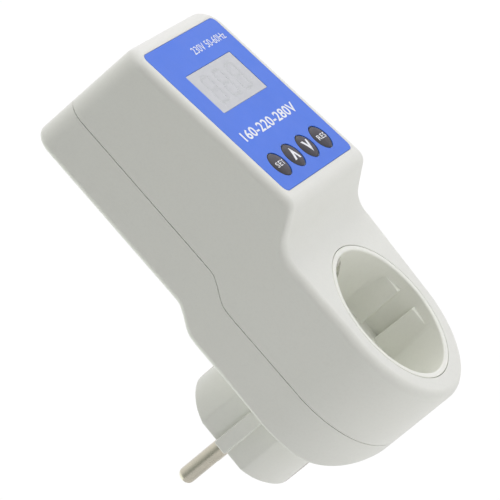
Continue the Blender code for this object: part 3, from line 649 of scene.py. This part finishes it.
# ---------------------------------------------------------------- back cover
def plug_outline(inset):
    """Section of the round plug: flats at the sides with a rib on each, and an
    earth groove at top and bottom."""
    R, F = PLUG_R - inset, PLUG_FLAT - inset
    rib, groove = PLUG_RIB / 2 - inset * 0.6, GROOVE / 2 + inset
    floor = 17.0 * MM - inset * 0.2
    quarter = [(math.sqrt(R * R - rib * rib), rib, 0.35 * MM), (F, rib, 0.3 * MM)]
    z0 = math.sqrt(R * R - F * F)
    a0, a1 = math.atan2(z0, F), math.acos(groove / R)
    for k in range(19):
        a = a0 + (a1 - a0) * k / 18
        quarter.append((R * math.cos(a), R * math.sin(a), 0.28 * MM if k == 18 else 0.0))
    quarter.append((groove, floor, 0.25 * MM))
    pts = quarter + [(-x, z, r) for x, z, r in quarter[::-1]]
    pts += [(-x, -z, r) for x, z, r in quarter] + [(x, -z, r) for x, z, r in quarter[::-1]]
    return fillet([(x, z) for x, z, _ in pts], [r for _, _, r in pts], 4)


cover = loft("case_back", lip(lambda z: split_y(z) + 0.16 * MM, -1)
             + rounding(BACK_EDGE_R, back_y, -1, 8, low_r=HEEL_EDGE_R))
tongue = loft("tongue", [(REBATE + GAP, lambda z: split_y(z) - 1.5 * MM),
                         (REBATE + GAP, lambda z: split_y(z) + 2.0 * MM)])
base_line, inner_line = plug_outline(0.0), plug_outline(0.5 * MM)
rings = [[(u, 34.8 * MM, v) for u, v in base_line]]
for k in range(9):
    a = math.pi / 2 * k / 8
    ring = []
    for (u, v), (iu, iv) in zip(base_line, inner_line):
        e = SOLE_EDGE + 0.5 * MM * smooth((abs(v) - 11.0 * MM) / (6.0 * MM))
        f = e * (1 - math.cos(a)) / (0.5 * MM)
        ring.append((u + (iu - u) * f, SOLE_DEPTH - e * (1 - math.sin(a)),
                     v + (iv - v) * f))
    rings.append(ring)
boss = skin(rings, "boss", PLUG)
boolean(cover, [tongue, boss], "UNION")
boolean(cover, [
    loft("cover_cavity", [(WALL, lambda z: split_y(z) - 4 * MM),
                          (WALL, lambda z: back_y(z) - WALL)]),
    turned([(0, 28 * MM), (PLUG_BORE, 28 * MM), (PLUG_BORE, SOLE_DEPTH - SOLE_T),
            (0, SOLE_DEPTH - SOLE_T)], 0, 0, "plug_bore", PLUG, 96)])
posts, bores = [], []
for name, (x, z) in SCREWS.items():
    seat = split_y(z) + 4.2 * MM
    posts.append(turned([(0, split_y(z) + 0.4 * MM), (4.7 * MM, split_y(z) + 0.4 * MM),
                         (4.7 * MM, back_y(z) - 0.9 * MM), (0, back_y(z) - 0.9 * MM)],
                        x, z, "post", RIM, 40))
    b = back_y(z)
    bores.append(turned([(0, split_y(z) - 3 * MM), (1.9 * MM, split_y(z) - 3 * MM),
                         (1.9 * MM, seat), (3.4 * MM, seat), (3.4 * MM, b - 0.3 * MM),
                         (3.5 * MM, b - 0.1 * MM), (3.8 * MM, b + 0.1 * MM),
                         (3.8 * MM, b + 3 * MM), (0, b + 3 * MM)],
                        x, z, "bore", RIM, 40))
boolean(cover, together("posts", *posts), "UNION")
POWER_POSTS = ((-18.0 * MM, 58.0 * MM), (18.0 * MM, 58.0 * MM))
posts = []
for x, z in POWER_POSTS:
    posts.append(turned([(0, 26.9 * MM), (2.8 * MM, 26.9 * MM),
                         (2.8 * MM, back_y(z) - 1.2 * MM), (0, back_y(z) - 1.2 * MM)],
                        x, z, "post", RIM, 32))
    bores.append(turned([(0, 25.0 * MM), (1.4 * MM, 25.0 * MM), (1.4 * MM, 31.0 * MM),
                         (0, 31.0 * MM)], x, z, "bore", RIM, 20))
boolean(cover, together("board_posts", *posts), "UNION")
boolean(cover, together("bores", *bores))
holes, ways = [], []
for sx in (-1, 1):
    x = sx * PIN_PITCH / 2
    r = PIN_D / 2 + GAP
    holes.append(turned([(0, 48 * MM), (r, 48 * MM), (r, SOLE_DEPTH - 0.35 * MM),
                         (r + 0.1 * MM, SOLE_DEPTH - 0.12 * MM),
                         (r + 0.35 * MM, SOLE_DEPTH + 0.02 * MM),
                         (r + 0.35 * MM, 60 * MM), (0, 60 * MM)],
                        x, 0, "pin_hole", PLUG, 48))
for sz in (-1, 1):
    z0, z1 = sorted((sz * 11 * MM, sz * 22 * MM))
    ways.append(block((-GROOVE / 2, 39.6 * MM, z0), (GROOVE / 2, 44.0 * MM, z1),
                      "spring_way", PLUG))
boolean(cover, [together("holes", *holes), together("ways", *ways)])
smooth_edges(cover)
keep(cover, ABS, housing, "abs", "back_cover")

# ------------------------------------------------------------------ label
film = prism(rounded(LABEL_W, LABEL_H, LABEL_CORNER, 0, LABEL_H / 2, 14),
             -0.03 * MM, LABEL_T - 0.03 * MM, "label_film", LABEL)
boolean(film, together(
    "label_holes",
    prism(rounded(WINDOW_W, WINDOW_H, 0.5 * MM, 0, WINDOW_S, 5), -2 * MM, 2 * MM,
          "hole", LABEL),
    *[prism(circle_at(KEY_D / 2 + GAP, x, KEY_S, 72)(0), -2 * MM, 2 * MM, "hole",
            LABEL) for x in KEY_X.values()]))
bevel_edges(film, 0.07 * MM, 2)
smooth_edges(film)
keep(film, FILM, housing, "film", "front_label")

pane = skin([[(u, d, v) for u, v in rounded(WINDOW_W + 2 * o, WINDOW_H + 2 * o,
                                            0.3 * MM, 0, WINDOW_S, 4)]
             for o, d in ((0.3 * MM, 2.3 * MM), (0.3 * MM, POCKET),
                          (-0.08 * MM, POCKET), (-0.08 * MM, 0.11 * MM),
                          (-0.12 * MM, 0.07 * MM), (-0.20 * MM, 0.05 * MM))],
            "display_pane", LABEL)
smooth_edges(pane)
keep(pane, PANE, housing, "pane", "lcd_window")

OUTWARD = Matrix(((1, 0, 0, 0), (0, 0, -1, 0), (0, 1, 0, 0), (0, 0, 0, 1)))


def flat_mesh(name, polygons, top, bottom, matrix):
    """Thin plates from outlines; top and bottom give the depth at a point."""
    bm = bmesh.new()
    for pts in polygons:
        a = [bm.verts.new((u, top(u, v), v)) for u, v in pts]
        b = [bm.verts.new((u, bottom(u, v), v)) for u, v in pts]
        n = len(pts)
        for i in range(n):
            j = (i + 1) % n
            bm.faces.new((a[i], a[j], b[j], b[i]))
        bm.faces.new(a[::-1])
        bm.faces.new(b)
    return to_object(bm, name, matrix)


def segment_digit(cx, cy, w, h, t):
    """The seven bars of one display digit, slightly slanted."""
    g = 0.14 * MM
    hw, hh = w / 2, h / 2
    bars = []

    def bar(x0, y0, x1, y1):
        if abs(y1 - y0) < 1e-9:
            k = t / 2
            pts = [(x0 + g, y0), (x0 + g + k, y0 + k), (x1 - g - k, y0 + k),
                   (x1 - g, y0), (x1 - g - k, y0 - k), (x0 + g + k, y0 - k)]
        else:
            k = t / 2
            pts = [(x0, y0 + g), (x0 + k, y0 + g + k), (x0 + k, y1 - g - k),
                   (x0, y1 - g), (x0 - k, y1 - g - k), (x0 - k, y0 + g + k)]
        bars.append([(cx + u + (v * 0.09), cy + v) for u, v in pts])
    bar(-hw, hh, hw, hh)
    bar(-hw, 0, hw, 0)
    bar(-hw, -hh, hw, -hh)
    for sx in (-1, 1):
        bar(sx * hw, 0, sx * hw, hh)
        bar(sx * hw, -hh, sx * hw, 0)
    return bars


bars = []
for k in range(3):
    bars += segment_digit((-8.2 + 8.2 * k) * MM, WINDOW_S, 4.7 * MM, 8.8 * MM, 1.0 * MM)
digits = flat_mesh("display_segments", bars, lambda u, v: 0.042 * MM,
                   lambda u, v: 0.08 * MM, LABEL)
smooth_edges(digits, weighted=False)
keep(digits, SEGMENT, housing, "pane")


# ---------------------------------------------------------- printed lettering
def lettering(name, text, x0, x1, s0, s1, thick, depth_at, matrix, spacing=1.0):
    """Generic lettering fitted to a box on the panel."""
    curve = bpy.data.curves.new(name, "FONT")
    curve.body = text
    curve.size = 10 * MM
    curve.offset = thick * MM
    curve.extrude = 0.001 * MM
    curve.resolution_u = 4
    curve.space_character = spacing
    source = bpy.data.objects.new(name, curve)
    bpy.context.scene.collection.objects.link(source)
    dg = bpy.context.evaluated_depsgraph_get()
    mesh = bpy.data.meshes.new_from_object(source.evaluated_get(dg))
    bpy.data.objects.remove(source, do_unlink=True)
    bm = bmesh.new()
    bm.from_mesh(mesh)
    bpy.data.meshes.remove(mesh)
    bmesh.ops.remove_doubles(bm, verts=bm.verts, dist=0.0000001)
    us = [v.co.x for v in bm.verts]
    vs = [v.co.y for v in bm.verts]
    for v in bm.verts:
        u = x0 + (v.co.x - min(us)) / (max(us) - min(us)) * (x1 - x0)
        s = s0 + (v.co.y - min(vs)) / (max(vs) - min(vs)) * (s1 - s0)
        lift = -0.022 * MM if v.co.z > 0 else 0.02 * MM
        v.co = Vector((u, depth_at(u, s) + lift, s))
    return to_object(bm, name, matrix)


def on_label(u, v):
    return -0.03 * MM


print_top = lettering("print_upper", "230V 50-60Hz", -0.9 * MM, 20.9 * MM,
                      44.8 * MM, 47.2 * MM, 0.0, on_label, LABEL, 1.0)
print_low = lettering("print_lower", "160-220-280V", -18.6 * MM, 18.0 * MM,
                      17.0 * MM, 20.3 * MM, 0.18, on_label, LABEL, 1.05)
for obj in (print_top, print_low):
    smooth_edges(obj, weighted=False)
    keep(obj, INK, housing, "white_plastic")

# ------------------------------------------------------------------- keys
CROWN, RISE = -0.42 * MM, 0.62 * MM


def dome(u, v):
    r = min(1.0, math.hypot(u, v) / (KEY_D / 2))
    return CROWN + RISE * (1 - math.sqrt(1 - r * r))


def chevron(name, sign, matrix):
    """A thick arrowhead laid over the dome: a ribbon mitred at its tip."""
    w, h, t, mid = 2.0 * MM, 4.0 * MM, 0.95 * MM, 1.7 * MM
    a = math.atan2(h, w)
    run, tip = t / math.sin(a), t / math.cos(a)
    outer = [(-w, 0.0), (0.0, h), (w, 0.0)]
    inner = [(-w + run, 0.0), (0.0, h - tip), (w - run, 0.0)]
    pairs = []
    for i in (0, 1):
        for k in range(9 if i else 8):
            f = k / 8
            pairs.append([(p[i][0] + (p[i + 1][0] - p[i][0]) * f,
                           p[i][1] + (p[i + 1][1] - p[i][1]) * f)
                          for p in (outer, inner)])
    rings = []
    for pair in pairs:
        ring = []
        for j, lift in ((0, -0.03), (1, -0.03), (1, 0.06), (0, 0.06)):
            u, v = pair[j][0], sign * (pair[j][1] - mid)
            ring.append((u, dome(u, v) + lift * MM, v))
        rings.append(ring)
    return skin(rings, name, matrix)


for name, x in KEY_X.items():
    r = KEY_D / 2
    crown = [(r * math.sin(math.radians(a)),
              CROWN + RISE * (1 - math.cos(math.radians(a))))
             for a in range(88, 0, -4)]
    cap = turned([(0, 4.7 * MM), (1.5 * MM, 4.7 * MM), (1.5 * MM, 3.8 * MM),
                  (4.55 * MM, 3.8 * MM), (4.7 * MM, 3.65 * MM), (4.7 * MM, 3.0 * MM),
                  (4.55 * MM, 2.85 * MM), (r, 2.85 * MM)] + crown + [(0, CROWN)],
                 x, KEY_S, "keycap_" + name, LABEL, 72)
    smooth_edges(cap)
    keep(cap, KEY, name + "_key", "key_grey", "key_" + name)
    at = LABEL @ Matrix.Translation((x, 0, KEY_S))
    if name in ("up", "down"):
        mark = chevron("legend_" + name, 1 if name == "up" else -1, at)
    else:
        mark = lettering("legend_" + name, "SET" if name == "set" else "RES",
                         -2.5 * MM, 2.5 * MM, -0.9 * MM, 0.8 * MM, 0.1, dome, at, 1.15)
    smooth_edges(mark, weighted=False)
    keep(mark, INK, name + "_key", "white_plastic")

# ------------------------------------------------------------ pass-through cup
rim = [(WELL_R + 0.5 * MM - 0.5 * MM * math.sin(math.radians(a)),
        0.5 * MM - 0.5 * MM * math.cos(math.radians(a))) for a in range(0, 91, 15)]
outer = [(CUP_R - 0.25 * MM + 0.25 * MM * math.sin(math.radians(a)),
          0.25 * MM - 0.25 * MM * math.cos(math.radians(a))) for a in range(90, -1, -30)]
cup = turned([(0, CUP_BACK), (CUP_R, CUP_BACK), (CUP_R, 4.6 * MM), (23.2 * MM, 4.6 * MM),
              (23.2 * MM, 2.85 * MM), (CUP_R, 2.85 * MM)] + outer + rim
             + [(WELL_R, WELL_DEPTH), (0, WELL_DEPTH)],
             0, 0, "outlet_cup", RIM, 144)


def pad_outline(x, side):
    """A guide pad's section: flat inside, buried in the cup's wall outside."""
    r = 20.5 * MM
    a0, a1 = math.asin(side / r), math.acos(x / r)
    return [(x, side)] + [(r * math.cos(a0 + (a1 - a0) * k / 6),
                           r * math.sin(a0 + (a1 - a0) * k / 6))
                          for k in range(7)]


for sx in (-1, 1):
    for sz in (-1, 1):
        pad = skin([[(sx * u, y, sz * v) for u, v in pad_outline(x, side)]
                    for x, side, y in ((PAD_X + PAD_DRAFT, CHANNEL / 2, PAD_TOP),
                                       (PAD_X, CHANNEL / 2 - 0.3 * MM,
                                        WELL_DEPTH + 0.8 * MM))], "pad", RIM)
        bevel_edges(pad, 0.42 * MM, 4, 30)
        boolean(cup, pad, "UNION")
mouths, slots = [], []
for sx in (-1, 1):
    r = CONTACT_HOLE / 2
    mouths.append(turned([(0, 15 * MM), (r + 0.7 * MM, 15 * MM),
                          (r + 0.7 * MM, WELL_DEPTH - 0.01 * MM),
                          (r + 0.1 * MM, WELL_DEPTH + 0.5 * MM), (r, WELL_DEPTH + 0.75 * MM),
                          (r, 23 * MM), (0, 23 * MM)], sx * PIN_PITCH / 2, 0,
                         "mouth", RIM, 48))
for sz in (-1, 1):
    z0, z1 = sorted((sz * 16.5 * MM, sz * 24.0 * MM))
    slots.append(block((-EARTH_SLOT / 2, EARTH_SLOT_TOP[sz], z0), (EARTH_SLOT / 2, 24 * MM, z1),
                       "slot", RIM))
boolean(cup, [together("mouths", *mouths), together("slots", *slots)])
smooth_edges(cup)
# The cup wears the lighter copy of the ABS, and its extra brightness is painted light in the
# well.
keep(cup, CUP_ABS_PAINTED_LIGHT, housing, "abs", "socket_cup")


# --------------------------------------------------- springs, contacts, pins
def spline(points, n=6):
    """Points along a smooth line through the given ones."""
    pts = [Vector(p) for p in points]
    pts = [pts[0] * 2 - pts[1]] + pts + [pts[-1] * 2 - pts[-2]]
    out = []
    for i in range(1, len(pts) - 2):
        p0, p1, p2, p3 = pts[i - 1:i + 3]
        for k in range(n):
            t = k / n
            out.append(0.5 * ((2 * p1) + (p2 - p0) * t + (2 * p0 - 5 * p1 + 4 * p2 - p3) * t * t
                              + (3 * p1 - p0 - 3 * p2 + p3) * t ** 3))
    return out + [pts[-2]]


def sheet_strip(name, path, t, half, matrix):
    """A bent metal strip: path is (depth, height), half its half width."""
    line = spline([(a * MM, b * MM) for a, b in path])
    rings = []
    for i, p in enumerate(line):
        d = (line[min(i + 1, len(line) - 1)] - line[max(0, i - 1)]).normalized()
        n = Vector((-d.y, d.x)) * (t / 2)
        e = 0.16 * MM
        section = []
        for sx, sn in ((1, 1), (-1, 1), (-1, -1), (1, -1)):
            a = (sx * half, sn * 1.0 - sn * e / (t / 2))
            b = (sx * (half - e), sn * 1.0)
            section += [a, b] if sx * sn > 0 else [b, a]
        rings.append([(x, (p + n * k).x, (p + n * k).y) for x, k in section])
    return skin(rings, name, matrix)


socket_half = [(3.7, 20.2), (4.0, 18.9), (5.1, 17.95), (6.7, 16.75), (8.4, 16.05),
               (10.2, 16.25), (12.2, 17.5), (14.4, 19.3), (16.5, 20.1),
               (20.6, 20.2), (22.2, 19.7), (22.9, 18.2)]
socket_low = [(5.4, 20.2), (5.7, 19.1), (6.8, 18.0), (8.0, 16.9), (9.4, 16.2),
              (11.0, 16.4), (12.8, 17.7), (14.6, 19.3), (16.5, 20.1),
              (20.6, 20.2), (22.2, 19.7), (22.9, 18.2)]
clip = sheet_strip("socket_earth_clip",
                   socket_half + [(23.0, 10.0), (23.0, 0.0), (23.0, -10.0)]
                   + [(y, -z) for y, z in socket_low[::-1]],
                   0.8 * MM, 3.0 * MM, RIM)
smooth_edges(clip)
keep(clip, SPRING, housing, "nickel", "socket_earth_spring")
plug_half = [(55.6, 17.5), (54.6, 17.75), (44.6, 17.75), (42.4, 17.2),
             (41.3, 15.6), (41.0, 13.6)]
clip = sheet_strip("plug_earth_clip",
                   plug_half + [(41.0, 7.0), (41.0, -7.0)]
                   + [(y, -z) for y, z in plug_half[::-1]],
                   0.8 * MM, 3.0 * MM, PLUG)
smooth_edges(clip)
keep(clip, SPRING, housing, "nickel", "plug_earth_spring")

for name, sx in (("live", -1), ("neutral", 1)):
    x = sx * PIN_PITCH / 2
    tube = turned([(3.8 * MM, 32.6 * MM), (3.8 * MM, 21.1 * MM), (3.5 * MM, 20.8 * MM),
                   (3.1 * MM, 20.8 * MM), (2.75 * MM, 21.3 * MM), (2.75 * MM, 32.6 * MM)],
                  x, 0, "contact_tube_" + name, RIM, 64, loop=True)
    boolean(tube, block((x - 0.6 * MM, 20 * MM, -5 * MM), (x + 0.6 * MM, 29.5 * MM, 5 * MM),
                        "slit", RIM))
    smooth_edges(tube)
    keep(tube, BRASS, housing, "brass", "contact_" + name)
    r = PIN_D / 2
    end = SOLE_DEPTH + PIN_L
    tip = [(0, end)] + [(r - 1.75 * MM + 1.75 * MM * math.sin(math.radians(a)),
                         end - 1.75 * MM + 1.75 * MM * math.cos(math.radians(a)))
                        for a in range(0, 91, 10)]
    pin = turned(tip + [(r, SOLE_DEPTH + 0.4 * MM), (r, 50.8 * MM), (3.7 * MM, 50.8 * MM),
                        (3.7 * MM, 49.0 * MM), (2.2 * MM, 49.0 * MM),
                        (2.2 * MM, 43.8 * MM), (0, 43.8 * MM)],
                 x, 0, "plug_pin_" + name, PLUG, 72)
    smooth_edges(pin)
    keep(pin, NICKEL, housing, "nickel", "pin_" + name)

# ------------------------------------------------------------ housing screws
for name, (x, z) in SCREWS.items():
    seat = split_y(z) + 4.2 * MM
    head = [(0, seat + 2.45 * MM)]
    head += [(2.9 * MM * math.sin(math.radians(a)),
              seat + 1.15 * MM + 1.3 * MM * math.cos(math.radians(a)))
             for a in range(15, 91, 15)]
    screw = turned(head + [(2.9 * MM, seat + 0.3 * MM), (1.5 * MM, seat + 0.3 * MM),
                           (1.5 * MM, split_y(z) - 9.5 * MM), (0, split_y(z) - 11 * MM)],
                   x, z, "case_screw_" + name, RIM, 48)
    cross = []
    for w, h in ((0.38, 1.5), (1.5, 0.38)):
        top = [(x + a * w * MM, seat + 3.0 * MM, z + b * h * MM)
               for a, b in ((1, 1), (-1, 1), (-1, -1), (1, -1))]
        low = [(x + a * w * 0.45 * MM, seat + 0.9 * MM, z + b * h * 0.45 * MM)
               for a, b in ((1, 1), (-1, 1), (-1, -1), (1, -1))]
        cross.append(skin([top, low], "cross", RIM))
    boolean(screw, cross)
    smooth_edges(screw)
    keep(screw, STEEL, housing, "screw_steel", "housing_screw_" + name)

# --------------------------------------------- pieces that keep their CAD form
plain = {
    "lcd_glass": LCD, "lcd_backlight": WHITE, "control_board": BOARD,
    "board_screw_left": STEEL, "board_screw_right": STEEL, "controller_chip": CHIP,
    "earth_link": BRASS, "neutral_link": BRASS, "pin_carrier": WHITE,
    "power_board": BOARD, "power_screw_left": STEEL, "power_screw_right": STEEL,
    "relay": RELAY, "film_capacitor": CAP_YELLOW, "filter_capacitor": CAP_BLACK,
    "varistor": VARISTOR, "dropper_resistor": RESISTOR, "live_in_wire": WIRE_BROWN,
    "live_out_wire": WIRE_BROWN, "neutral_wire": WIRE_BLUE,
}
for key in ("set", "up", "down", "reset"):
    plain["switch_body_" + key] = SWITCH
    plain["switch_stem_" + key] = SWITCH
for name, mat in plain.items():
    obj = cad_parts[name]
    for i in range(max(1, len(obj.material_slots))):
        if obj.material_slots:
            obj.material_slots[i].material = mat
        else:
            obj.data.materials.append(mat)

# --------------------------------------------------------------- the studio
scene = bpy.context.scene
scene.view_settings.view_transform = "Standard"
scene.view_settings.look = "None"

floor_bm = bmesh.new()
bmesh.ops.create_circle(floor_bm, cap_ends=True, segments=96, radius=0.9)
floor = to_object(floor_bm, "floor", Matrix.Translation((0, 0, cad_box[0].z - 0.07)))
floor_mat = finish("floor_white", (0.86, 0.86, 0.86), 0.7, grain=1.0, depth=0.01,
                   mottle=60.0, shift=0.004)
wear(floor, floor_mat)

world = bpy.data.worlds.new("studio")
scene.world = world
world.use_nodes = True
wn, wl = world.node_tree.nodes, world.node_tree.links
back = wn["Background"]
out = wn["World Output"]
coord = wn.new("ShaderNodeTexCoord")
axes = wn.new("ShaderNodeSeparateXYZ")
wl.new(coord.outputs["Generated"], axes.inputs[0])
total = None
for axis, tint in (("X", (1.06, 1.01, 1.18)), ("Y", (1.64, 1.70, 1.62)),
                   ("Z", (0.86, 0.82, 0.84))):
    side = wn.new("ShaderNodeMath")
    side.operation = "MAXIMUM"
    side.inputs[1].default_value = 0.0
    wl.new(axes.outputs[axis], side.inputs[0])
    fade = wn.new("ShaderNodeMath")
    fade.operation = "POWER"
    fade.inputs[1].default_value = 2.0
    wl.new(side.outputs["Value"], fade.inputs[0])
    tinted = wn.new("ShaderNodeVectorMath")
    tinted.operation = "SCALE"
    tinted.inputs[0].default_value = tint
    wl.new(fade.outputs["Value"], tinted.inputs["Scale"])
    if total is None:
        total = tinted
    else:
        joined = wn.new("ShaderNodeVectorMath")
        joined.operation = "ADD"
        wl.new(total.outputs["Vector"], joined.inputs[0])
        wl.new(tinted.outputs["Vector"], joined.inputs[1])
        total = joined
wl.new(total.outputs["Vector"], back.inputs["Color"])
back.inputs["Strength"].default_value = 1.0
white = wn.new("ShaderNodeBackground")
white.inputs["Color"].default_value = (1.0, 1.0, 1.0, 1.0)
white.inputs["Strength"].default_value = 1.02
path = wn.new("ShaderNodeLightPath")
blend = wn.new("ShaderNodeMixShader")
wl.new(path.outputs["Is Camera Ray"], blend.inputs["Fac"])
wl.new(back.outputs["Background"], blend.inputs[1])
wl.new(white.outputs["Background"], blend.inputs[2])
wl.new(blend.outputs["Shader"], out.inputs["Surface"])


def softbox(name, at, target, size, power, spread=180.0):
    data = bpy.data.lights.new(name, "AREA")
    data.shape = "RECTANGLE"
    data.size, data.size_y = size
    data.energy = power
    data.spread = math.radians(spread)
    obj = bpy.data.objects.new(name, data)
    obj.location = at
    obj.rotation_euler = (Vector(target) - Vector(at)).to_track_quat("-Z", "Y").to_euler()
    scene.collection.objects.link(obj)
    return obj


softbox("softbox_right", (0.75, -0.55, 0.75), (0, 0, 0.03), (0.8, 0.8), 1.7)
softbox("softbox_above", (0.0, -0.9, 0.9), (0, 0, 0.03), (0.8, 0.8), 5.0)
softbox("softbox_front", (0.1, -1.2, 0.15), (0, 0, 0.03), (0.8, 0.8), 2.3)

cam_data = bpy.data.cameras.new("camera")
cam_data.lens = 321.398
cam_data.sensor_width = 36.0
cam_data.clip_start = 0.05
cam_data.clip_end = 20.0
cam = bpy.data.objects.new("camera", cam_data)
cam.location = (-1.0627159, -0.5724337, -0.0087198)
cam.rotation_euler = (math.radians(92.761250), math.radians(39.197557),
                      math.radians(-61.451519))
scene.collection.objects.link(cam)
scene.camera = cam
